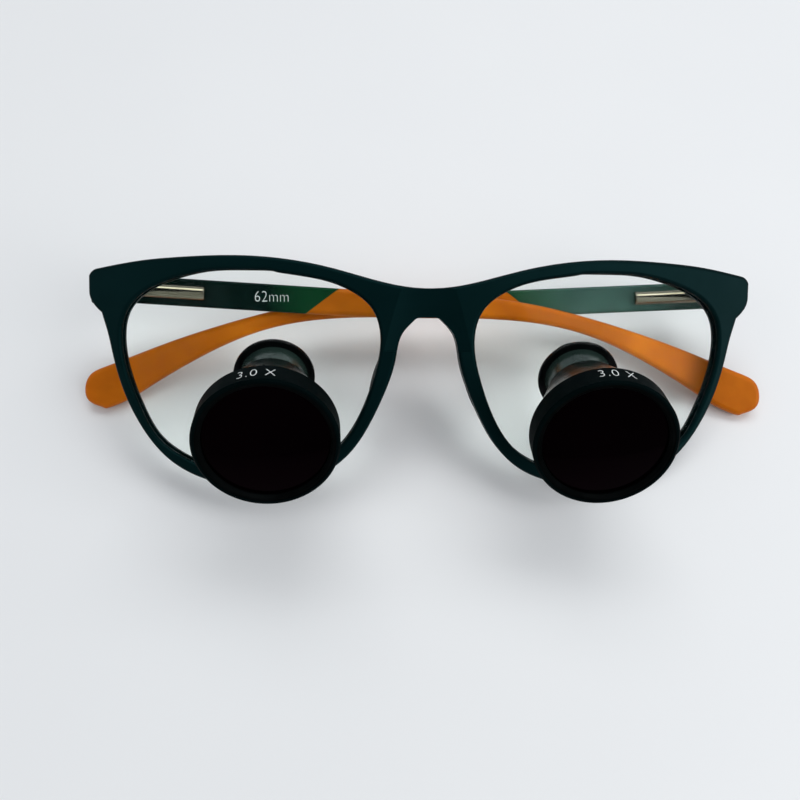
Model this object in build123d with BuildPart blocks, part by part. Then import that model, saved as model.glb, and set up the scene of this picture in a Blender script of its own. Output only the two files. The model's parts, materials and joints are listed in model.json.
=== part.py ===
from build123d import *

import os
from math import cos, radians, sin, sqrt, tan

# Through-the-lens dental loupes, folded and lying on a table.
#
# Lengths are millimetres.  Every piece is drawn in one of three drawing frames and then placed:
#
#   front frame   x across the face, y up along the front, z out of the front
#   scope frame   z along the optical axis towards the objective, origin at the carrier lens
#   temple frame  origin on the hinge axis, x along the folded temple, y up, z towards the front
#
# The row frame is the table: Z up, X across the front, Y away from the person who looks at it.
# The loupes rest on the two temple tips and on one lower rim, with the front leaning back.
# "right" and "left" are the wearer's, so the right half has negative x.  Paired pieces are drawn
# for one side and mirrored.

os.makedirs("parts", exist_ok=True)

# ---------------------------------------------------------------- driving dimensions
# Rest on the table
LEAN = 31.37  # of the front, about X
ROLL = 3.04  # about the front's own upright: the right lower rim stands a little proud

# Front
FRONT_HALF_WIDTH = 70.0
FACE_RADIUS = 312.0  # wrap of the front, about an axis along y
RIM_THICKNESS = 3.7
EDGE_ROUND = 0.7
LUG_X = 67.85  # end piece, a hair inside the front's outer side
LUG_WIDTH = 3.9
LUG_DEPTH = 4.6
BRIDGE_SCOOP_RADIUS = 38.0
BRIDGE_SCOOP_DEPTH = 0.55
PAD_X = 9.0  # moulded nose pads
PAD_Y = -17.5
PAD_ANGLE = -74.0
PAD_LENGTH = 14.0
PAD_DEPTH = 4.2

# Carrier lenses
LENS_X = 36.4  # centre of the opening
LENS_Y = -16.6
LENS_HALF_WIDTH = 26.8
LENS_HALF_HEIGHT = 20.9
LENS_THICKNESS = 2.0
LENS_SETBACK = 0.95  # of the lens's front face behind the rim's front face
LENS_GROOVE = 0.8  # how far the lens edge goes into the rim

# Telescopes
PUPIL_DISTANCE = 62.0
SCOPE_Y = -17.25
SCOPE_Z = 0.55
DECLINATION = 22.4
CONVERGENCE = 2.8
BARREL_RADIUS = 12.9
BARREL_FRONT = 24.6
BARREL_BAND = 5.2
NECK_RADIUS = 6.8
NECK_END = 6.0
SPIGOT_RADIUS = 5.9
SPIGOT_END = 9.0
FLANGE_RADIUS = 8.15
EYE_END = -7.6  # rear face of the ocular barrel
EYE_RADIUS = 5.0  # of the ocular barrel where it passes through the carrier lens
EYE_BORE = 4.3
FLANGE_BACK = -1.3  # rear face of the flange, down in its spot-face in the carrier lens
FLANGE_THICKNESS = 1.0
ELEMENT_RADIUS = 11.7  # objective elements

# Temples
HINGE_X = 64.5
HINGE_Y = 0.45
HINGE_Z = -13.5
DROOP = 3.0  # of the temple below the hinge's normal plane
FOLD_RIGHT = 0.92  # left between each folded temple and the front's plane
FOLD_LEFT = 4.12
TEMPLE_END = 140.4
TEMPLE_HEIGHT = 6.0
TEMPLE_BOW = 1466.0  # radius of the inward bow
INNER_FACE = -1.5  # of the temple, from the hinge axis
OUTER_FACE = -4.9
JOINT_TOP = 46.0  # the diagonal joint between temple and tip
JOINT_BOTTOM = 38.6
TONGUE_END = 64.0

# Sprung hinge
BUTT_GAP = 0.1
BRACKET_FRONT = 4.7
BRACKET_PLATE = 1.8
EAR_REACH = 3.2
BRACKET_WIDTH = 3.6
BRACKET_HEIGHT = 5.4
KNUCKLE_RADIUS = 1.3
PIN_RADIUS = 0.6
PIN_CLEARANCE = 0.05
EYE_HEIGHT = 2.0
EAR_HEIGHT = 1.5
EAR_GAP = 0.06
CASING_RADIUS = 1.5
CASING_Z = -0.9
CASING_START = 3.4
CASING_END = 17.0
CAVITY_RADIUS = 1.15
STEM_RADIUS = 0.5
SPRING_WIRE = 0.14
SPRING_RADIUS = 0.82
SPRING_TURNS = 9
NUT_START = 13.6
FLEX_TRAVEL = 1.6


# ---------------------------------------------------------------- placing
def scope_location():
    """The left scope frame's place in the front frame."""
    inward = -sin(radians(CONVERGENCE))
    forward = cos(radians(CONVERGENCE))
    down = -forward * sin(radians(DECLINATION))
    out = forward * cos(radians(DECLINATION))
    centre = (PUPIL_DISTANCE / 2, SCOPE_Y, SCOPE_Z)
    return Plane(origin=centre, x_dir=(out, 0, -inward), z_dir=(inward, down, out)).location


TURNED_FRONT = Location((0, 0, 0), (LEAN, 0, 0)) * Location((0, 0, 0), (0, ROLL, 0))
SCOPE = scope_location()
HINGE_RIGHT = Location((-HINGE_X, HINGE_Y, HINGE_Z), (0, FOLD_RIGHT, 0))
HINGE_LEFT = Location((HINGE_X, HINGE_Y, HINGE_Z), (0, -FOLD_LEFT, 0))


# ---------------------------------------------------------------- front
def wrap_z(x, setback=0.0):
    """Depth of a surface that follows the wrap of the front, at a distance x from its middle."""
    radius = FACE_RADIUS - setback
    return sqrt(radius**2 - x**2) - FACE_RADIUS


def wrapped_band(setback, thickness, half_width=80.0):
    """Cross-section of a slab that follows the wrap, in x and z."""
    back = setback + thickness
    with BuildSketch() as band:
        with BuildLine():
            left = (-half_width, wrap_z(half_width, setback))
            right = (half_width, wrap_z(half_width, setback))
            left_back = (-half_width, wrap_z(half_width, back))
            right_back = (half_width, wrap_z(half_width, back))
            ThreePointArc(left, (0, -setback), right)
            Line(right, right_back)
            ThreePointArc(right_back, (0, -back), left_back)
            Line(left_back, left)
        make_face()
    return band.sketch


def half_outline():
    """Outer edge of one half of the front, from the top of the bridge round to the nose arch."""
    with BuildSketch() as half:
        with BuildLine():
            brow = Spline(
                (0, 1.0), (8, 1.9), (20, 5.0), (33, 7.0), (40, 7.25), (52.5, 6.7), (68.1, 4.45),
                tangents=((1, 0), (1, -0.2)),
            )
            corner = TangentArc(brow @ 1, (69.9, 2.9), tangent=brow % 1)
            side = Line(corner @ 1, (FRONT_HALF_WIDTH, -0.3))
            heel = Spline(side @ 1, (69.2, -2.7), (67.4, -4.6), tangents=((0, -1), (-1, -0.8)))
            rim = Spline(
                heel @ 1, (66.4, -8.2), (65.3, -13.5), (63.2, -21), (59.3, -28.8), (54.2, -34.8),
                (47.0, -38.8), (36, -40.4), (25.6, -38.9), (19.3, -36), (15.1, -32.1), (11.2, -25.8),
                (8.4, -19.6), (6.5, -13.4), (4.8, -7.6), (2.7, -5.4), (0, -4.94),
                tangents=((-0.25, -1), (-1, 0)),
            )
            Line(rim @ 1, brow @ 0)
        make_face()
    return half.sketch


def lens_outline(grow=0.0):
    """Clear opening of the left rim, or a shape larger than it by grow all round."""

    def spread(*points):
        return [
            (x + grow * (x - LENS_X) / LENS_HALF_WIDTH, y + grow * (y - LENS_Y) / LENS_HALF_HEIGHT)
            for x, y in points
        ]

    temporal = spread(
        (36.5, 4.3), (44, 4.1), (53, 2.0), (58.6, -0.7), (62.1, -4.6), (63.2, -9.8), (61.9, -18.2),
        (59.3, -25), (54.7, -31.8), (47, -36.2), (36, -37.5),
    )
    nasal = spread(
        (36, -37.5), (26, -36.2), (18.6, -32), (14.2, -25.8), (11, -17.5), (9.6, -9.4), (11.4, -3.2),
        (16.5, 0.7), (24.3, 3.0), (31, 4.0), (36.5, 4.3),
    )
    with BuildSketch() as opening:
        with BuildLine():
            Spline(*temporal, tangents=((1, 0), (-1, 0)))
            Spline(*nasal, tangents=((-1, 0), (1, 0)))
        make_face()
    return opening.sketch


def lens_blank():
    """Left carrier lens with no hole: a wrapped plate that reaches into the rim's groove."""
    with BuildPart() as blank:
        with BuildSketch(Plane.XY.offset(-16)):
            add(lens_outline(LENS_GROOVE))
        extrude(amount=18)
        with BuildSketch(Plane.XZ.offset(-60)):
            add(wrapped_band(LENS_SETBACK, LENS_THICKNESS))
        extrude(amount=120, mode=Mode.INTERSECT)
    return blank.part


def make_carrier_lens():
    """Left carrier lens, bored on the telescope's axis."""
    with BuildPart() as lens:
        add(lens_blank())
        with BuildSketch(Plane(SCOPE)):
            Circle(EYE_RADIUS)
        extrude(amount=20, both=True, mode=Mode.SUBTRACT)
        with BuildSketch(Plane(SCOPE).offset(FLANGE_BACK)):
            Circle(FLANGE_RADIUS + 0.1)
        extrude(amount=10, mode=Mode.SUBTRACT)
    return lens.part


def make_front_frame():
    half = half_outline()
    opening = lens_outline()
    blank = lens_blank()
    butt = HINGE_Z + BUTT_GAP / 2
    with BuildPart() as frame:
        with BuildSketch(Plane.XY.offset(-16)):
            add(half)
            mirror(half, about=Plane.YZ)
            add(opening, mode=Mode.SUBTRACT)
            mirror(opening, about=Plane.YZ, mode=Mode.SUBTRACT)
        extrude(amount=18)
        with BuildSketch(Plane.XZ.offset(-60)):
            add(wrapped_band(0, RIM_THICKNESS))
        extrude(amount=120, mode=Mode.INTERSECT)
        upright = frame.edges().filter_by(Axis.Z)
        flowing = frame.edges() - upright
        face_edges = flowing.filter_by(lambda e: e.center().Z > wrap_z(e.center().X) - 0.5)
        fillet(face_edges, EDGE_ROUND)
        # End pieces reach back to the hinge's butt plane
        with BuildSketch(Plane.XY.offset(butt)):
            with Locations((LUG_X, HINGE_Y), (-LUG_X, HINGE_Y)):
                RectangleRounded(LUG_WIDTH, TEMPLE_HEIGHT + 0.4, 0.6)
        extrude(amount=LUG_DEPTH)
        # Moulded nose pads run back from the nasal side of each rim
        with BuildSketch(Plane.XY.offset(-3.0)) as root:
            with Locations(Location((PAD_X, PAD_Y), PAD_ANGLE)):
                Ellipse(PAD_LENGTH / 2, 1.3)
        with BuildSketch(Plane.XY.offset(-3.0 - PAD_DEPTH)):
            with Locations(Location((PAD_X + 1.3, PAD_Y), PAD_ANGLE)):
                Ellipse(PAD_LENGTH / 2 - 2, 0.9)
        pad = loft()
        mirror(pad, about=Plane.YZ)
        # Scooped bridge between two creases
        scoop = Plane(origin=(0, -2, BRIDGE_SCOOP_RADIUS - BRIDGE_SCOOP_DEPTH), z_dir=(0, 1, 0.06))
        with BuildSketch(scoop):
            Circle(BRIDGE_SCOOP_RADIUS)
        extrude(amount=12, both=True, mode=Mode.SUBTRACT)
        # Seats of the lenses and of the hinge brackets
        add(blank, mode=Mode.SUBTRACT)
        mirror(blank, about=Plane.YZ, mode=Mode.SUBTRACT)
        with BuildSketch(Plane.XY.offset(HINGE_Z + BRACKET_FRONT)):
            with Locations((HINGE_X - 0.6, HINGE_Y), (0.6 - HINGE_X, HINGE_Y)):
                RectangleRounded(BRACKET_WIDTH, BRACKET_HEIGHT, 0.5)
        extrude(amount=-8, mode=Mode.SUBTRACT)
    return frame.part


# ---------------------------------------------------------------- telescopes, in the scope frame
def turned(profile):
    """A solid of revolution about the optical axis, from its outline of (radius, distance) points."""
    with BuildPart() as solid:
        with BuildSketch(Plane.XZ):
            with BuildLine():
                Polyline(*profile, close=True)
            make_face()
        revolve(axis=Axis.Z)
    return solid.part


def lens_element(radius, back, front, back_bulge, front_bulge):
    """A round lens: flat rim between back and front, each face bulged along the axis at its middle."""
    with BuildPart() as element:
        with BuildSketch(Plane.XZ):
            with BuildLine():
                Line((0, back + back_bulge), (0, front + front_bulge))
                front_edge = (radius, front)
                back_edge = (radius, back)
                face_arc(front_edge, front_bulge)
                Line(front_edge, back_edge)
                face_arc(back_edge, back_bulge)
            make_face()
        revolve(axis=Axis.Z)
    return element.part


def face_arc(edge, bulge):
    """Half of a lens face's arc, from the axis to its edge."""
    radius, height = edge
    sphere = (radius**2 + bulge**2) / (2 * bulge)
    half_way = radius / 2
    middle = height + bulge - sphere + (1 if bulge > 0 else -1) * sqrt(sphere**2 - half_way**2)
    return ThreePointArc((0, height + bulge), (half_way, middle), edge)


def make_telescope_housing():
    shoulder = BARREL_FRONT - BARREL_BAND
    with BuildPart() as housing:
        with BuildSketch(Plane.XZ):
            with BuildLine():
                Polyline(
                    (SPIGOT_RADIUS, NECK_END),
                    (7.4, NECK_END),
                    (7.7, NECK_END + 0.4),
                    (8.6, 9.2),
                    (12.1, shoulder - 1.0),
                    (12.4, shoulder - 0.2),
                    (BARREL_RADIUS, shoulder + 0.2),
                    (BARREL_RADIUS, BARREL_FRONT - 0.35),
                    (BARREL_RADIUS - 0.35, BARREL_FRONT),
                    (ELEMENT_RADIUS + 0.45, BARREL_FRONT),
                    (ELEMENT_RADIUS + 0.45, BARREL_FRONT - 1.2),
                    (ELEMENT_RADIUS, BARREL_FRONT - 1.2),
                    (ELEMENT_RADIUS, shoulder - 1.2),
                    (ELEMENT_RADIUS - 0.8, shoulder - 1.2),
                    (7.4, SPIGOT_END + 1.2),
                    (SPIGOT_RADIUS, SPIGOT_END + 1.2),
                    close=True,
                )
            make_face()
        revolve(axis=Axis.Z)
    return housing.part


def make_ocular_barrel():
    """Rear tube: eye lens seat behind, neck through the carrier lens, spigot in the housing."""
    with BuildPart() as barrel:
        with BuildSketch(Plane.XZ):
            with BuildLine():
                Polyline(
                    (3.6, EYE_END + 3.4),
                    (EYE_BORE, EYE_END + 3.4),
                    (EYE_BORE, EYE_END),
                    (EYE_RADIUS - 0.2, EYE_END),
                    (EYE_RADIUS, EYE_END + 0.2),
                    (EYE_RADIUS, FLANGE_BACK),
                    (NECK_RADIUS, FLANGE_BACK),
                    (NECK_RADIUS, NECK_END),
                    (SPIGOT_RADIUS, NECK_END),
                    (SPIGOT_RADIUS, SPIGOT_END),
                    (5.0, SPIGOT_END),
                    (5.0, FLANGE_BACK + 1.2),
                    (3.6, FLANGE_BACK - 0.4),
                    close=True,
                )
            make_face()
        revolve(axis=Axis.Z)
    return barrel.part


def ring(inner, outer, start, end, chamfer_size=0.2):
    """A turned ring with its outer edges broken."""
    return turned(
        (
            (inner, start),
            (outer - chamfer_size, start),
            (outer, start + chamfer_size),
            (outer, end - chamfer_size),
            (outer - chamfer_size, end),
            (inner, end),
        )
    )


def make_telescope():
    """All the pieces of the left telescope, by name."""
    glass_front = BARREL_FRONT - 1.2
    cemented = glass_front - 2.2
    return {
        "telescope_housing": make_telescope_housing(),
        "objective_ring": turned(
            (
                (ELEMENT_RADIUS, glass_front),
                (ELEMENT_RADIUS + 0.45, glass_front),
                (ELEMENT_RADIUS + 0.45, BARREL_FRONT - 0.15),
                (ELEMENT_RADIUS - 0.1, BARREL_FRONT - 0.15),
                (ELEMENT_RADIUS - 0.5, glass_front + 0.5),
                (ELEMENT_RADIUS - 0.5, glass_front + 0.15),
            )
        ),
        "objective_lens": lens_element(ELEMENT_RADIUS, cemented, glass_front, -0.9, 0.9),
        "objective_flint": lens_element(ELEMENT_RADIUS, cemented - 2, cemented, 0.3, -0.9),
        "lens_spacer": ring(ELEMENT_RADIUS - 0.7, ELEMENT_RADIUS, cemented - 3, cemented - 2, 0.1),
        "ocular_barrel": make_ocular_barrel(),
        "ocular_lens": lens_element(EYE_BORE, EYE_END + 1.4, EYE_END + 3.4, 0.5, -0.4),
        "ocular_ring": ring(EYE_BORE - 0.7, EYE_BORE, EYE_END + 0.2, EYE_END + 1.4, 0.1),
        "flange_ring": ring(NECK_RADIUS, FLANGE_RADIUS, FLANGE_BACK, FLANGE_BACK + FLANGE_THICKNESS, 0.2),
    }


# ---------------------------------------------------------------- temples, in the temple frame
def droop_y(x):
    """Height of the temple's middle line at a distance x from the hinge axis."""
    return -x * tan(radians(DROOP))


def temple_outline():
    """Side view of the whole temple, butt end to tip."""
    half = TEMPLE_HEIGHT / 2
    start = BUTT_GAP
    with BuildSketch() as outline:
        with BuildLine():
            top_joint = (JOINT_TOP, droop_y(JOINT_TOP) + half)
            low_joint = (JOINT_BOTTOM, droop_y(JOINT_BOTTOM) - half)
            slope = (1, droop_y(1))
            butt = Line((start, droop_y(start) - half), (start, droop_y(start) + half))
            Line(butt @ 1, top_joint)
            upper = Spline(
                top_joint, (81.5, -1.3), (95, -3.7), (108, -7.2), (122, -11.9), (135.5, -17.2),
                tangents=(slope, (1, -0.38)),
            )
            end = Spline(
                upper @ 1, (139.2, -19.2), (TEMPLE_END, -22.2), (139.6, -25.2), (136.7, -26.6), (133, -25.8),
                tangents=((1, -0.38), (-1, 0.4)),
            )
            lower = Spline(
                end @ 1, (127, -22.4), (115, -15.2), (101.5, -9.2), (88, -6.4), (64, -5.75), low_joint,
                tangents=((-1, 0.4), (-1, -slope[1])),
            )
            Line(lower @ 1, butt @ 0)
        make_face()
    return outline.sketch


def bowed_band(inner, outer, end_inner, end_outer):
    """Plan of a slab that follows the temple's bow, in x and z."""
    far = TEMPLE_END + 5
    middle = far / 2
    bow_middle = middle**2 / (2 * TEMPLE_BOW)
    bow_far = far**2 / (2 * TEMPLE_BOW)
    with BuildSketch() as band:
        with BuildLine():
            ThreePointArc((0, inner), (middle, (inner + end_inner) / 2 + bow_middle), (far, end_inner + bow_far))
            Line((far, end_inner + bow_far), (far, end_outer + bow_far))
            ThreePointArc((far, end_outer + bow_far), (middle, (outer + end_outer) / 2 + bow_middle), (0, outer))
            Line((0, outer), (0, inner))
        make_face()
    return band.sketch


def temple_blank(outline, inner=INNER_FACE, outer=OUTER_FACE, end_inner=-1.7, end_outer=-4.7):
    """The temple's side view, cut out of a bowed slab."""
    with BuildPart() as blank:
        with BuildSketch(Plane.XY.offset(-8)):
            add(outline)
        extrude(amount=20)
        with BuildSketch(Plane.XZ.offset(-20)):
            add(bowed_band(inner, outer, end_inner, end_outer))
        extrude(amount=60, mode=Mode.INTERSECT)
    return blank.part


def joint_plane():
    """Plane of the diagonal joint; its normal points to the tip."""
    half = TEMPLE_HEIGHT / 2
    top = Vector(JOINT_TOP, droop_y(JOINT_TOP) + half, 0)
    low = Vector(JOINT_BOTTOM, droop_y(JOINT_BOTTOM) - half, 0)
    along = (top - low).normalized()
    return Plane(origin=low, x_dir=along, z_dir=along.cross(Vector(0, 0, 1)))


def make_tongue():
    """The temple's core, which the tip is pushed over."""
    middle = (JOINT_BOTTOM + TONGUE_END) / 2
    with BuildSketch() as side:
        with Locations(Location((middle, droop_y(middle) + 0.4), -DROOP)):
            RectangleRounded(TONGUE_END - JOINT_BOTTOM, 2.6, 0.6)
    return temple_blank(side.sketch, -2.6, -3.8, -2.6, -3.8)


def casing_cylinder(radius, start, end):
    """A cylinder on the hinge casing's axis, which follows the droop."""
    axis = Vector(cos(radians(DROOP)), -sin(radians(DROOP)), 0)
    origin = Vector(0, 0, CASING_Z) + axis * start
    with BuildPart() as cylinder:
        with BuildSketch(Plane(origin=origin, x_dir=(0, 0, 1), z_dir=axis)):
            Circle(radius)
        extrude(amount=end - start)
    return cylinder.part


def make_temple_arm():
    with BuildPart() as arm:
        add(temple_blank(temple_outline()))
        split(bisect_by=joint_plane(), keep=Keep.BOTTOM)
        flowing = arm.edges().filter_by(lambda e: e.length > 30)
        fillet(flowing, 0.6)
        butt_edges = arm.edges().group_by(Axis.X)[0]
        chamfer(butt_edges, 0.25)
        add(make_tongue())
        add(casing_cylinder(CASING_RADIUS, CASING_START, CASING_END), mode=Mode.SUBTRACT)
        # Slot for the slider, open towards the hinge
        with BuildSketch(Plane.XY.offset(INNER_FACE - 1.3)):
            with Locations((CASING_START / 2, 0)):
                Rectangle(CASING_START + 1.0, EYE_HEIGHT + 0.6)
        extrude(amount=3, mode=Mode.SUBTRACT)
    return arm.part


def make_temple_tip():
    with BuildPart() as tip:
        add(temple_blank(temple_outline()))
        split(bisect_by=joint_plane(), keep=Keep.TOP)
        flowing = tip.edges().filter_by(lambda e: e.length > 7 and e.center().X > JOINT_TOP)
        fillet(flowing, 1.1)
        add(make_tongue(), mode=Mode.SUBTRACT)
    return tip.part


def make_flex_casing():
    with BuildPart() as casing:
        add(casing_cylinder(CASING_RADIUS, CASING_START, CASING_END))
        end_edges = casing.edges().filter_by(GeomType.CIRCLE).sort_by(Axis.X)
        chamfer(end_edges[-1], 0.2)
        add(casing_cylinder(CAVITY_RADIUS, CASING_START, CASING_START + 2.4), mode=Mode.SUBTRACT)
        add(casing_cylinder(STEM_RADIUS + 0.05, CASING_START, CASING_END - 1), mode=Mode.SUBTRACT)
        add(casing_cylinder(CAVITY_RADIUS, CASING_START + 3.4, CASING_END - 0.8), mode=Mode.SUBTRACT)
    return casing.part


def make_flex_slider():
    """Hinge eye, its link into the casing, the guided head and the long stem."""
    head_start = CASING_START + 0.2
    head_end = CASING_START + 2.3
    with BuildPart() as slider:
        with BuildSketch(Plane.XZ.offset(EYE_HEIGHT / 2)):
            Circle(KNUCKLE_RADIUS)
        extrude(amount=-EYE_HEIGHT)
        with BuildSketch(Plane.XZ.offset(EYE_HEIGHT / 2 - 0.25)):
            with BuildLine():
                Polyline(
                    (0.2, 0.9), (1.4, 0.5), (head_start + 0.4, -0.25), (head_start + 0.4, CASING_Z - 0.7),
                    (1.8, CASING_Z - 0.7), (0, -1.0), close=True,
                )
            make_face()
        extrude(amount=-(EYE_HEIGHT - 0.7))
        add(casing_cylinder(CAVITY_RADIUS - PIN_CLEARANCE, head_start, head_end))
        add(casing_cylinder(STEM_RADIUS, head_end, NUT_START + 1.2))
        with BuildSketch(Plane.XZ.offset(5)):
            Circle(PIN_RADIUS + PIN_CLEARANCE)
        extrude(amount=-10, mode=Mode.SUBTRACT)
    return slider.part


def make_stop_nut():
    with BuildPart() as nut:
        add(casing_cylinder(CAVITY_RADIUS - 0.1, NUT_START, NUT_START + 0.9))
        add(casing_cylinder(STEM_RADIUS, NUT_START - 1, NUT_START + 2), mode=Mode.SUBTRACT)
    return nut.part


def make_flex_spring():
    """Coil round the stem, between the casing's wall and the stop nut."""
    start = CASING_START + 3.4 + SPRING_WIRE + 0.05
    length = NUT_START - SPRING_WIRE - 0.05 - start
    axis = Vector(cos(radians(DROOP)), -sin(radians(DROOP)), 0)
    origin = Vector(0, 0, CASING_Z) + axis * start
    with BuildPart() as spring:
        with BuildLine():
            coil = Helix(
                pitch=length / SPRING_TURNS, height=length, radius=SPRING_RADIUS, center=origin, direction=axis
            )
        with BuildSketch(Plane(origin=coil @ 0, z_dir=coil % 0)):
            Circle(SPRING_WIRE)
        sweep(path=coil.edges()[0], is_frenet=True)
    return spring.part


def make_hinge_bracket():
    """Two ears round the hinge screw on a plate let into the front, seen from the temple frame."""
    with BuildPart() as bracket:
        for low in (EYE_HEIGHT / 2 + EAR_GAP, -EYE_HEIGHT / 2 - EAR_GAP - EAR_HEIGHT):
            with BuildSketch(Plane.XZ.offset(-low)):
                Circle(KNUCKLE_RADIUS)
                with Locations((0.3, EAR_REACH / 2)):
                    Rectangle(2.0, EAR_REACH)
            extrude(amount=-EAR_HEIGHT)
        with BuildSketch(Plane.XY.offset(BRACKET_FRONT - BRACKET_PLATE)):
            with Locations((0.6, 0)):
                RectangleRounded(BRACKET_WIDTH, BRACKET_HEIGHT, 0.5)
        extrude(amount=BRACKET_PLATE)
        with BuildSketch(Plane.XZ.offset(6)):
            Circle(PIN_RADIUS)
        extrude(amount=-12, mode=Mode.SUBTRACT)
    return bracket.part


def make_hinge_screw():
    """Countersunk-looking pan head above the upper ear, shank through ears and eye."""
    top = EYE_HEIGHT / 2 + EAR_GAP + EAR_HEIGHT
    with BuildPart() as screw:
        with BuildSketch(Plane.XZ.offset(top)):
            Circle(PIN_RADIUS)
        extrude(amount=-2 * top)
        with BuildSketch(Plane.XZ.offset(-top)):
            Circle(KNUCKLE_RADIUS - 0.1)
        extrude(amount=-0.6)
        slot = Plane.XZ.offset(-top - 0.6)
        with BuildSketch(slot):
            Rectangle(3, 0.35)
        extrude(amount=0.3, mode=Mode.SUBTRACT)
    return screw.part


# ---------------------------------------------------------------- the whole object
def place_all():
    """Every piece at rest in the front frame, by node name."""
    placed = {"front_frame": make_front_frame()}
    front_pair = {"carrier_lens": make_carrier_lens()}
    for name, piece in make_telescope().items():
        front_pair[name] = SCOPE * piece
    for name, piece in front_pair.items():
        placed[name + "_left"] = piece
        placed[name + "_right"] = mirror(piece, about=Plane.YZ)
    hinge_pair = {"hinge_bracket": make_hinge_bracket(), "hinge_screw": make_hinge_screw()}
    right_hinge = Location((-HINGE_X, HINGE_Y, HINGE_Z))
    for name, piece in hinge_pair.items():
        placed[name + "_right"] = right_hinge * piece
        placed[name + "_left"] = mirror(right_hinge * piece, about=Plane.YZ)
    temple_pair = {
        "temple_arm": make_temple_arm(),
        "temple_tip": make_temple_tip(),
        "flex_casing": make_flex_casing(),
        "flex_slider": make_flex_slider(),
        "stop_nut": make_stop_nut(),
        "flex_spring": make_flex_spring(),
    }
    for name, piece in temple_pair.items():
        placed[name + "_right"] = HINGE_RIGHT * piece
        placed[name + "_left"] = HINGE_LEFT * mirror(piece, about=Plane.YZ)
    return placed


def settle(placed):
    """Turn the object to its rest on the table, with the origin at the bottom centre of its box."""
    turned_pieces = {name: TURNED_FRONT * piece for name, piece in placed.items()}
    boxes = [piece.bounding_box() for piece in turned_pieces.values()]
    low = Vector(*(min(getattr(box.min, axis) for box in boxes) for axis in "XYZ"))
    high = Vector(*(max(getattr(box.max, axis) for box in boxes) for axis in "XYZ"))
    shift = Location((-(low.X + high.X) / 2, -(low.Y + high.Y) / 2, -low.Z))
    return {name: shift * piece for name, piece in turned_pieces.items()}, shift * TURNED_FRONT


pieces, REST = settle(place_all())
for node, solid in pieces.items():
    solid.label = node
    export_step(solid, f"parts/{node}.step")
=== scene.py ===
import json
import math

import bmesh
import bpy
from mathutils import Matrix, Vector


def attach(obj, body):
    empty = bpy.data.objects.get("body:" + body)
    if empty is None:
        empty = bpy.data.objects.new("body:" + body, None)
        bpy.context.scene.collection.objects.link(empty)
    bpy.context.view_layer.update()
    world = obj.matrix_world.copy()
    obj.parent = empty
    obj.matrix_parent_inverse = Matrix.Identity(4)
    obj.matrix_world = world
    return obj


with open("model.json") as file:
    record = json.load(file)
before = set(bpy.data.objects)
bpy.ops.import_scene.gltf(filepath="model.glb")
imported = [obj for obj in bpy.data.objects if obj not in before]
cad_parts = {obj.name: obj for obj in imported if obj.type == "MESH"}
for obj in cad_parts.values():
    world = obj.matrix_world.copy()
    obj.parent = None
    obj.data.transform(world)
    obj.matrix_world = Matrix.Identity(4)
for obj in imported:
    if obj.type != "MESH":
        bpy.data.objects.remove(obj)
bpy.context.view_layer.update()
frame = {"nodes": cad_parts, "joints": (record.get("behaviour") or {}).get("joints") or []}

MM = 0.001
SIDES = {"right": -1, "left": 1}
nodes = frame["nodes"]
joints = {j["name"]: j for j in frame["joints"]}


# ------------------------------------------------------------------ frames of the CAD model
# Front frame: x across the face to the wearer's left, y up the front, z out of the front.
HINGE_Y, HINGE_Z = 0.45, -13.5
_right = Vector(joints["fold_right"]["pos_m"])
_left = Vector(joints["fold_left"]["pos_m"])
FRONT_X = (_left - _right).normalized()
FRONT_Y = Vector(joints["fold_right"]["axis"]).normalized()
FRONT_Z = FRONT_X.cross(FRONT_Y).normalized()
FRONT_O = (_left + _right) / 2 - (FRONT_Y * HINGE_Y + FRONT_Z * HINGE_Z) * MM


def at(x, y, z):
    """A point of the front frame, given in millimetres, in the row frame."""
    return FRONT_O + (FRONT_X * x + FRONT_Y * y + FRONT_Z * z) * MM


def way(x, y, z):
    return FRONT_X * x + FRONT_Y * y + FRONT_Z * z


def matrix(origin, x_dir, y_dir, z_dir):
    m = Matrix.Identity(4)
    for i, v in enumerate((x_dir, y_dir, z_dir, origin)):
        m.col[i][:3] = v
    return m


# Scope frame: z along a telescope's axis towards its objective, origin at the carrier lens.
SCOPE_AT = {"right": (-31, -17.25, 0.55), "left": (31, -17.25, 0.55)}
DECLINATION, CONVERGENCE = math.radians(22.4), math.radians(2.8)


def scope_axes(side):
    z_dir = Vector((
        -SIDES[side] * math.sin(CONVERGENCE),
        -math.cos(CONVERGENCE) * math.sin(DECLINATION),
        math.cos(CONVERGENCE) * math.cos(DECLINATION),
    ))
    x_dir = Vector((0, 1, 0)).cross(z_dir).normalized()
    return x_dir, z_dir.cross(x_dir), z_dir


# ------------------------------------------------------------------ materials
def material(name):
    mat = bpy.data.materials.new(name)
    mat.use_nodes = True
    tree = mat.node_tree
    shader = tree.nodes["Principled BSDF"]
    return mat, tree, shader


def node(tree, kind, **values):
    n = tree.nodes.new(kind)
    for key, value in values.items():
        if key in n.inputs:
            n.inputs[key].default_value = value
        else:
            setattr(n, key, value)
    return n


def object_noise(tree, scale, detail=4.0, rough=0.55, stretch=(1, 1, 1), distort=0.0):
    """Noise fixed to the object, scale in cycles per metre."""
    coord = node(tree, "ShaderNodeTexCoord")
    mapping = node(tree, "ShaderNodeMapping")
    mapping.inputs["Scale"].default_value = stretch
    noise = node(
        tree, "ShaderNodeTexNoise", Scale=scale, Detail=detail, Roughness=rough, Distortion=distort,
    )
    tree.links.new(coord.outputs["Object"], mapping.inputs["Vector"])
    tree.links.new(mapping.outputs["Vector"], noise.inputs["Vector"])
    return noise


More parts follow.
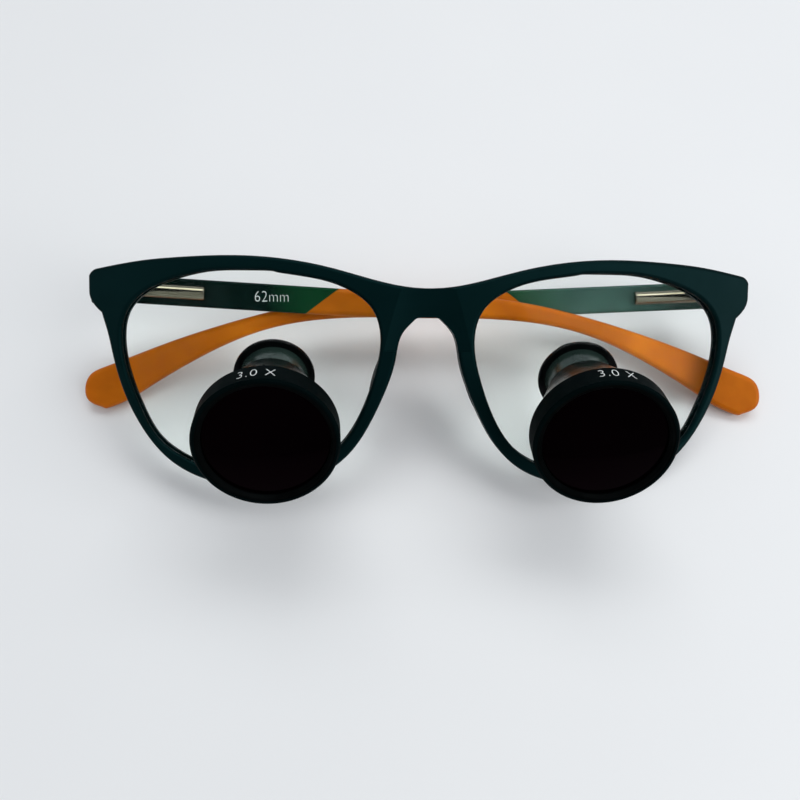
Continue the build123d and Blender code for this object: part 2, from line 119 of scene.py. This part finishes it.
def ramp(tree, source, stops):
    """Colour ramp over a node's factor output, stops as (position, colour)."""
    r = node(tree, "ShaderNodeValToRGB")
    els = r.color_ramp.elements
    for i, (pos, col) in enumerate(stops):
        e = els[i] if i < 2 else els.new(pos)
        e.position = pos
        e.color = (*col, 1)
    tree.links.new(source, r.inputs["Fac"])
    return r


def spread(tree, source, low, high, start=0.3, end=0.7):
    """Maps a noise factor to a range of values."""
    m = node(tree, "ShaderNodeMapRange")
    m.inputs["From Min"].default_value = start
    m.inputs["From Max"].default_value = end
    m.inputs["To Min"].default_value = low
    m.inputs["To Max"].default_value = high
    tree.links.new(source, m.inputs["Value"])
    return m.outputs["Result"]


def bump(tree, shader, source, strength, distance, before=None):
    b = node(tree, "ShaderNodeBump", Strength=strength, Distance=distance)
    tree.links.new(source, b.inputs["Height"])
    if before is not None:
        tree.links.new(before.outputs["Normal"], b.inputs["Normal"])
    tree.links.new(b.outputs["Normal"], shader.inputs["Normal"])
    return b


def axis_factor(tree, direction, start, end):
    """0..1 along a direction of the row frame, between two distances in metres."""
    coord = node(tree, "ShaderNodeTexCoord")
    dot = node(tree, "ShaderNodeVectorMath", operation="DOT_PRODUCT")
    dot.inputs[1].default_value = direction
    tree.links.new(coord.outputs["Object"], dot.inputs[0])
    m = node(tree, "ShaderNodeMapRange")
    m.inputs["From Min"].default_value = start
    m.inputs["From Max"].default_value = end
    tree.links.new(dot.outputs["Value"], m.inputs["Value"])
    return m.outputs["Result"]


def moulded_plastic(name, dark, light, rough, specular, tint_spec=(0.35, 0.9, 0.9), painted_glow=None):
    """Matt moulded plastic: faint flow mottling, fine grain, a little worn polish.

    glow is (direction, start, end): the plastic turns from its own colour to green along it, painted
    light that stands for lamp light shining through the thin plastic."""
    mat, tree, shader = material(name)
    flow = object_noise(tree, 55, detail=5, stretch=(1, 1.6, 1.6), distort=0.6)
    tint = ramp(tree, flow.outputs["Fac"], [(0.3, dark), (0.72, light)])
    if painted_glow is None:
        tree.links.new(tint.outputs["Color"], shader.inputs["Base Color"])
    else:
        # Painted light: the green stands for lamp light shining through the thin plastic
        painted_glow_stops = [(0.3, (0.003, 0.040, 0.012)), (0.72, (0.007, 0.075, 0.024))]
        green = ramp(tree, flow.outputs["Fac"], painted_glow_stops)
        blend = node(tree, "ShaderNodeMix", data_type="RGBA")
        tree.links.new(axis_factor(tree, *painted_glow), blend.inputs["Factor"])
        tree.links.new(tint.outputs["Color"], blend.inputs["A"])
        tree.links.new(green.outputs["Color"], blend.inputs["B"])
        tree.links.new(blend.outputs["Result"], shader.inputs["Base Color"])
    smudge = object_noise(tree, 140, detail=6, rough=0.62)
    tree.links.new(spread(tree, smudge.outputs["Fac"], rough[0], rough[1]), shader.inputs["Roughness"])
    shader.inputs["Specular IOR Level"].default_value = specular
    shader.inputs["Specular Tint"].default_value = (*tint_spec, 1)
    fine = object_noise(tree, 5200, detail=2, rough=0.5)
    waves = object_noise(tree, 320, detail=3)
    first = bump(tree, shader, waves.outputs["Fac"], 0.25, 0.00005)
    bump(tree, shader, fine.outputs["Fac"], 0.35, 0.000012, before=first)
    return mat


def soft_rubber(name):
    """Orange moulded elastomer: satin, a touch of light carried inside, fine matt grain."""
    mat, tree, shader = material(name)
    cloud = object_noise(tree, 70, detail=4, distort=0.4)
    stops = [
        (0.28, (0.42, 0.092, 0.0008)),
        (0.52, (0.54, 0.135, 0.0020)),
        (0.74, (0.68, 0.185, 0.005)),
    ]
    tint = ramp(tree, cloud.outputs["Fac"], stops)
    tree.links.new(tint.outputs["Color"], shader.inputs["Base Color"])
    shader.inputs["Subsurface Weight"].default_value = 0.22
    shader.inputs["Subsurface Radius"].default_value = (0.004, 0.0014, 0.0005)
    shader.inputs["Subsurface Scale"].default_value = 0.6
    shader.inputs["Specular IOR Level"].default_value = 0.2
    shader.inputs["Specular Tint"].default_value = (1, 0.75, 0.42, 1)
    smear = object_noise(tree, 210, detail=5)
    tree.links.new(spread(tree, smear.outputs["Fac"], 0.36, 0.5), shader.inputs["Roughness"])
    grain = object_noise(tree, 4200, detail=3, rough=0.6)
    waves = object_noise(tree, 190, detail=2)
    first = bump(tree, shader, waves.outputs["Fac"], 0.3, 0.00008)
    bump(tree, shader, grain.outputs["Fac"], 0.4, 0.00002, before=first)
    return mat


def drawn_metal(name, dark, light, along, rough=(0.16, 0.3)):
    """Plated metal with fine drawing lines along one direction."""
    mat, tree, shader = material(name)
    shader.inputs["Metallic"].default_value = 1.0
    coord = node(tree, "ShaderNodeTexCoord")
    turn = node(tree, "ShaderNodeMapping")
    quat = Vector((1, 0, 0)).rotation_difference(along)
    turn.inputs["Rotation"].default_value = quat.inverted().to_euler()
    shrink = node(tree, "ShaderNodeMapping")
    shrink.inputs["Scale"].default_value = (90, 4200, 4200)
    lines = node(tree, "ShaderNodeTexNoise", Scale=1.0, Detail=3.0, Roughness=0.6)
    tree.links.new(coord.outputs["Object"], turn.inputs["Vector"])
    tree.links.new(turn.outputs["Vector"], shrink.inputs["Vector"])
    tree.links.new(shrink.outputs["Vector"], lines.inputs["Vector"])
    tint = ramp(tree, lines.outputs["Fac"], [(0.3, dark), (0.7, light)])
    tree.links.new(tint.outputs["Color"], shader.inputs["Base Color"])
    tree.links.new(spread(tree, lines.outputs["Fac"], rough[0], rough[1]), shader.inputs["Roughness"])
    bump(tree, shader, lines.outputs["Fac"], 0.3, 0.000008)
    return mat


def anodised(name, dark, light, rough, specular, coat=0.0):
    """Bead-blasted, anodised and dyed aluminium: fine satin grain, faint dye mottling."""
    mat, tree, shader = material(name)
    dye = object_noise(tree, 160, detail=5)
    tint = ramp(tree, dye.outputs["Fac"], [(0.3, dark), (0.7, light)])
    tree.links.new(tint.outputs["Color"], shader.inputs["Base Color"])
    shader.inputs["Specular IOR Level"].default_value = specular
    shader.inputs["Specular Tint"].default_value = (0.6, 0.95, 1, 1)
    shader.inputs["Coat Weight"].default_value = coat
    shader.inputs["Coat Roughness"].default_value = 0.22
    handled = object_noise(tree, 420, detail=5)
    tree.links.new(spread(tree, handled.outputs["Fac"], rough[0], rough[1]), shader.inputs["Roughness"])
    blast = object_noise(tree, 7000, detail=2)
    bump(tree, shader, blast.outputs["Fac"], 0.3, 0.000008)
    return mat


def gloss_black(name, rough=(0.12, 0.2), specular=0.1):
    """Glossy black lacquer, very slightly uneven."""
    mat, tree, shader = material(name)
    tone = object_noise(tree, 240, detail=4)
    stops = [(0.3, (0.0008, 0.0012, 0.0012)), (0.7, (0.0022, 0.003, 0.0032))]
    tint = ramp(tree, tone.outputs["Fac"], stops)
    tree.links.new(tint.outputs["Color"], shader.inputs["Base Color"])
    shader.inputs["Specular IOR Level"].default_value = specular
    tree.links.new(spread(tree, tone.outputs["Fac"], rough[0], rough[1]), shader.inputs["Roughness"])
    turning = object_noise(tree, 2600, detail=2)
    bump(tree, shader, turning.outputs["Fac"], 0.15, 0.000005)
    return mat


def clear_glass(name):
    """Polished clear lens that lets lamps through, with faint smears in its gloss."""
    mat, tree, shader = material(name)
    shader.inputs["Base Color"].default_value = (0.955, 0.985, 0.97, 1)
    shader.inputs["Transmission Weight"].default_value = 1.0
    shader.inputs["IOR"].default_value = 1.09
    smear = object_noise(tree, 90, detail=5, rough=0.65, distort=0.8)
    tree.links.new(spread(tree, smear.outputs["Fac"], 0.0, 0.035, 0.5, 0.8), shader.inputs["Roughness"])
    path = node(tree, "ShaderNodeLightPath")
    through = node(tree, "ShaderNodeBsdfTransparent")
    through.inputs["Color"].default_value = (0.93, 0.965, 0.95, 1)
    mix = node(tree, "ShaderNodeMixShader")
    out = tree.nodes["Material Output"]
    tree.links.new(path.outputs["Is Shadow Ray"], mix.inputs[0])
    tree.links.new(shader.outputs[0], mix.inputs[1])
    tree.links.new(through.outputs[0], mix.inputs[2])
    tree.links.new(mix.outputs[0], out.inputs["Surface"])
    return mat


def coated_dark_glass(name):
    """Multi-coated objective: nearly black, with a dim wine-red tint in what it reflects."""
    mat, tree, shader = material(name)
    bloom = object_noise(tree, 60, detail=3)
    stops = [(0.3, (0.0001, 0.00005, 0.0001)), (0.7, (0.0006, 0.0001, 0.0003))]
    tint = ramp(tree, bloom.outputs["Fac"], stops)
    tree.links.new(tint.outputs["Color"], shader.inputs["Base Color"])
    shader.inputs["Specular IOR Level"].default_value = 0.02
    shader.inputs["Specular Tint"].default_value = (1.0, 0.3, 0.55, 1)
    smear = object_noise(tree, 130, detail=5, rough=0.6)
    tree.links.new(spread(tree, smear.outputs["Fac"], 0.02, 0.07), shader.inputs["Roughness"])
    return mat


def print_ink(name):
    """White pad print, a little greyer in places."""
    mat, tree, shader = material(name)
    worn = object_noise(tree, 3000, detail=4)
    stops = [(0.3, (0.62, 0.66, 0.66)), (0.6, (0.82, 0.86, 0.86))]
    tint = ramp(tree, worn.outputs["Fac"], stops)
    tree.links.new(tint.outputs["Color"], shader.inputs["Base Color"])
    tree.links.new(spread(tree, worn.outputs["Fac"], 0.45, 0.6), shader.inputs["Roughness"])
    return mat


def temple_way(side):
    """Direction of a folded temple, away from its hinge."""
    return Vector(joints[f"flex_{side}"]["axis"]).normalized()


# A temple turns greener between these distances from its hinge, just before its tip's joint: painted
# light, standing for lamp light shining through the thin plastic there
PAINTED_GLOW_FROM, PAINTED_GLOW_TO = 30, 42


def joint_painted_glow(side):
    hinge = temple_way(side).dot(Vector(joints[f"fold_{side}"]["pos_m"]))
    return temple_way(side), hinge + PAINTED_GLOW_FROM * MM, hinge + PAINTED_GLOW_TO * MM


FRAME_MAT = moulded_plastic(
    "front_plastic", (0.0003, 0.0044, 0.0048), (0.0006, 0.0066, 0.0072),
    rough=(0.34, 0.44), specular=0.09, tint_spec=(0.22, 0.85, 0.9),
)
TEMPLE_MATS = {
    "right": moulded_plastic(
        "temple_plastic_right", (0.0003, 0.0035, 0.0028), (0.0008, 0.0075, 0.0050),
        rough=(0.24, 0.34), specular=0.08, painted_glow=joint_painted_glow("right"),
    ),
    # The left temple is the same plastic as the right one; its colour is painted much lighter, painted
    # light where the key lamp falls on it
    "left": moulded_plastic(
        "temple_plastic_left_painted_lit", (0.012, 0.050, 0.038), (0.050, 0.115, 0.092),
        rough=(0.22, 0.34), specular=0.25, tint_spec=(0.6, 1, 0.95), painted_glow=joint_painted_glow("left"),
    ),
}
TIP_MAT = soft_rubber("tip_elastomer")
BARREL_MAT = anodised(
    "barrel_anodised", (0.0003, 0.0018, 0.0020), (0.0006, 0.0030, 0.0033),
    rough=(0.5, 0.6), specular=0.015,
)
NECK_MAT = anodised(
    "neck_anodised", (0.010, 0.021, 0.018), (0.020, 0.036, 0.030),
    rough=(0.14, 0.22), specular=0.2,
)
CONE_MAT = anodised(
    "cone_anodised", (0.0015, 0.0035, 0.0032), (0.003, 0.0060, 0.0054),
    rough=(0.16, 0.24), specular=0.35, coat=0.05,
)
RING_MAT = gloss_black("ring_gloss_black")
BEZEL_MAT = gloss_black("bezel_black", rough=(0.24, 0.34), specular=0.008)
LENS_MAT = clear_glass("carrier_lens_clear")
OBJECTIVE_MAT = coated_dark_glass("objective_coated")
INK_MAT = print_ink("pad_print")
SPRING_MAT = drawn_metal("spring_steel", (0.45, 0.45, 0.46), (0.7, 0.7, 0.7), Vector((1, 0, 0)))
SCREW_MAT = drawn_metal("screw_steel", (0.5, 0.49, 0.47), (0.75, 0.74, 0.72), Vector((0, 1, 0)))
CASING_MATS = {
    side: drawn_metal(
        f"casing_nickel_{side}", (0.20, 0.185, 0.115), (0.42, 0.40, 0.31),
        temple_way(side), rough=(0.14, 0.26),
    )
    for side in SIDES
}

# Which material each node gets
GIVEN = {"front_frame": FRAME_MAT}
for side in SIDES:
    GIVEN[f"carrier_lens_{side}"] = LENS_MAT
    GIVEN[f"telescope_housing_{side}"] = BARREL_MAT
    GIVEN[f"ocular_barrel_{side}"] = NECK_MAT
    for name in ("ocular_ring", "flange_ring", "lens_spacer"):
        GIVEN[f"{name}_{side}"] = RING_MAT
    GIVEN[f"objective_ring_{side}"] = BEZEL_MAT
    for name in ("objective_lens", "objective_flint"):
        GIVEN[f"{name}_{side}"] = OBJECTIVE_MAT
    GIVEN[f"ocular_lens_{side}"] = OBJECTIVE_MAT
    GIVEN[f"temple_arm_{side}"] = TEMPLE_MATS[side]
    GIVEN[f"temple_tip_{side}"] = TIP_MAT
    GIVEN[f"flex_casing_{side}"] = CASING_MATS[side]
    GIVEN[f"flex_slider_{side}"] = SPRING_MAT
    GIVEN[f"stop_nut_{side}"] = SPRING_MAT
    GIVEN[f"flex_spring_{side}"] = SPRING_MAT
    GIVEN[f"hinge_bracket_{side}"] = SCREW_MAT
    GIVEN[f"hinge_screw_{side}"] = SCREW_MAT
for name, mat in GIVEN.items():
    slots = nodes[name].data.materials
    slots.clear()
    slots.append(mat)
    for polygon in nodes[name].data.polygons:
        polygon.material_index = 0


# The tapered part of each housing, behind its shoulder, is polished before it is dyed
SHOULDER = 19.4
SHOULDER_SLACK = 0.3
for side in SIDES:
    housing = nodes[f"telescope_housing_{side}"]
    housing.data.materials.append(CONE_MAT)
    axis = way(*scope_axes(side)[2])
    base = at(*SCOPE_AT[side])
    for polygon in housing.data.polygons:
        centre = housing.matrix_world @ polygon.center
        if (centre - base).dot(axis) < (SHOULDER - SHOULDER_SLACK) * MM:
            polygon.material_index = 1


# ------------------------------------------------------------------ printed marks
STROKE_THINNING = 0.02  # of the figures' height
LONGEST_EDGE = 0.2  # of the figures' height, so that the flat print follows a curved face
INK_LIFT = 0.02  # millimetres above the face


def printed(name, text, width, height, place, ride_on, spacing=1.0):
    """Thin printed figures of a given size: place maps x and y on the text to a point, in metres."""
    curve = bpy.data.curves.new(name + "_line", "FONT")
    curve.body = text
    curve.size = height
    curve.space_character = spacing
    curve.offset = -STROKE_THINNING * height
    curve.resolution_u = 6
    holder = bpy.data.objects.new(name + "_holder", curve)
    bpy.context.scene.collection.objects.link(holder)
    bpy.context.view_layer.update()
    depsgraph = bpy.context.evaluated_depsgraph_get()
    flat = bpy.data.meshes.new_from_object(holder.evaluated_get(depsgraph))
    bpy.data.objects.remove(holder)
    mesh = bmesh.new()
    mesh.from_mesh(flat)
    bmesh.ops.remove_doubles(mesh, verts=mesh.verts, dist=1e-7)
    xs = [v.co.x for v in mesh.verts]
    ys = [v.co.y for v in mesh.verts]
    middle = ((min(xs) + max(xs)) / 2, (min(ys) + max(ys)) / 2)
    scale = (width / (max(xs) - min(xs)), height / (max(ys) - min(ys)))
    for _ in range(3):
        long_edges = [e for e in mesh.edges if e.calc_length() > height * LONGEST_EDGE]
        if long_edges:
            bmesh.ops.subdivide_edges(mesh, edges=long_edges, cuts=1)
            bmesh.ops.triangulate(mesh, faces=mesh.faces)
    for v in mesh.verts:
        v.co = place((v.co.x - middle[0]) * scale[0], (v.co.y - middle[1]) * scale[1])
    bmesh.ops.recalc_face_normals(mesh, faces=mesh.faces)
    mesh.to_mesh(flat)
    mesh.free()
    flat.materials.clear()
    flat.materials.append(INK_MAT)
    obj = bpy.data.objects.new(name, flat)
    bpy.context.scene.collection.objects.link(obj)
    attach(obj, ride_on)


# Magnification round the top of each barrel's front band
MARK_WIDTH, MARK_HEIGHT = 6.5, 2.2
BAND_RADIUS = 12.9
MARK_AT = {"right": 22.0, "left": 21.5}  # distance along the scope of the figures' middle
MARK_TURN = {"right": -5.5, "left": 3.5}  # degrees round from the top, towards the wearer's left


def band_mark(side):
    x_dir, y_dir, z_dir = scope_axes(side)
    origin = Vector(SCOPE_AT[side])
    lift = BAND_RADIUS + INK_LIFT

    def place(u, v):
        angle = math.radians(90 - MARK_TURN[side]) - u / MM / BAND_RADIUS
        radial = x_dir * math.cos(angle) + y_dir * math.sin(angle)
        p = origin + radial * lift + z_dir * (MARK_AT[side] - v / MM)
        return at(*p)

    return place


for side in SIDES:
    name = f"magnification_mark_{side}"
    printed(name, "3.0 X", MARK_WIDTH * MM, MARK_HEIGHT * MM, band_mark(side), "front", spacing=1.1)


# Size mark on the temple that lies next to the front, on the face that looks forwards
SIZE_MARK_AT = (-33.2, -0.86)
SIZE_MARK_WIDTH, SIZE_MARK_HEIGHT = 7.3, 2.3


def temple_mark(u, v):
    above = at(SIZE_MARK_AT[0] + u / MM, SIZE_MARK_AT[1] + v / MM, 0)
    _, point, normal, _ = nodes["temple_arm_right"].ray_cast(above, -FRONT_Z)
    return point + normal * INK_LIFT * MM


printed(
    "size_mark", "62mm", SIZE_MARK_WIDTH * MM, SIZE_MARK_HEIGHT * MM,
    temple_mark, "temple_right", spacing=1.05,
)


# ------------------------------------------------------------------ floor, light and camera
floor_mat, floor_tree, floor_shader = material("table_top")
cloud = object_noise(floor_tree, 6, detail=3)
floor_stops = [(0.3, (0.80, 0.815, 0.83)), (0.7, (0.83, 0.845, 0.855))]
floor_tint = ramp(floor_tree, cloud.outputs["Fac"], floor_stops)
floor_tree.links.new(floor_tint.outputs["Color"], floor_shader.inputs["Base Color"])
floor_shader.inputs["Roughness"].default_value = 0.35
floor_shader.inputs["Specular IOR Level"].default_value = 0.3
floor_mesh = bpy.data.meshes.new("table_top")
grid = bmesh.new()
bmesh.ops.create_grid(grid, x_segments=8, y_segments=8, size=3.0)
grid.to_mesh(floor_mesh)
grid.free()
floor = bpy.data.objects.new("table_top", floor_mesh)
bpy.context.scene.collection.objects.link(floor)
floor_mesh.materials.append(floor_mat)

world = bpy.data.worlds.new("studio")
bpy.context.scene.world = world
world.use_nodes = True
background = world.node_tree.nodes["Background"]
background.inputs["Color"].default_value = (0.93, 0.96, 1.0, 1)
background.inputs["Strength"].default_value = 0.45


def softbox(name, location, target, size, power):
    light = bpy.data.lights.new(name, "AREA")
    light.shape = "RECTANGLE"
    light.size, light.size_y = size
    light.energy = power
    obj = bpy.data.objects.new(name, light)
    bpy.context.scene.collection.objects.link(obj)
    obj.location = location
    obj.rotation_mode = "QUATERNION"
    obj.rotation_quaternion = (Vector(target) - Vector(location)).to_track_quat("-Z", "Y")


softbox("overhead", (0.15, 0.5, 0.9), (0, 0, 0), (1.1, 0.45), 4.7)
softbox("key_right", (0.68, -0.3, 0.62), (0, 0, 0.02), (0.55, 0.75), 3.6)
softbox("side_fill", (-0.7, -0.35, 0.7), (0, 0, 0.02), (0.5, 0.5), 0.6)

# The photo's camera: a wide lens about 150 mm from the front frame and nearly square to it
SENSOR, FOCAL_LENGTH = 36, 33.3
CAMERA_AT = (-12.85, -2.22, 149.7)
CAMERA_RIGHT = (0.9988, 0.0103, 0.0471)
CAMERA_UP = (-0.0042, 0.9917, -0.1289)
CAMERA_BACK = (-0.0481, 0.1285, 0.9905)
camera_data = bpy.data.cameras.new("camera")
camera = bpy.data.objects.new("camera", camera_data)
bpy.context.scene.collection.objects.link(camera)
camera_data.sensor_width = SENSOR
camera_data.lens = FOCAL_LENGTH
camera_data.clip_start = 0.005
camera_data.clip_end = 50
camera.rotation_mode = "QUATERNION"
camera.matrix_world = matrix(
    at(*CAMERA_AT),
    way(*CAMERA_RIGHT).normalized(),
    way(*CAMERA_UP).normalized(),
    way(*CAMERA_BACK).normalized(),
)
bpy.context.scene.camera = camera
bpy.context.scene.view_settings.view_transform = "Standard"
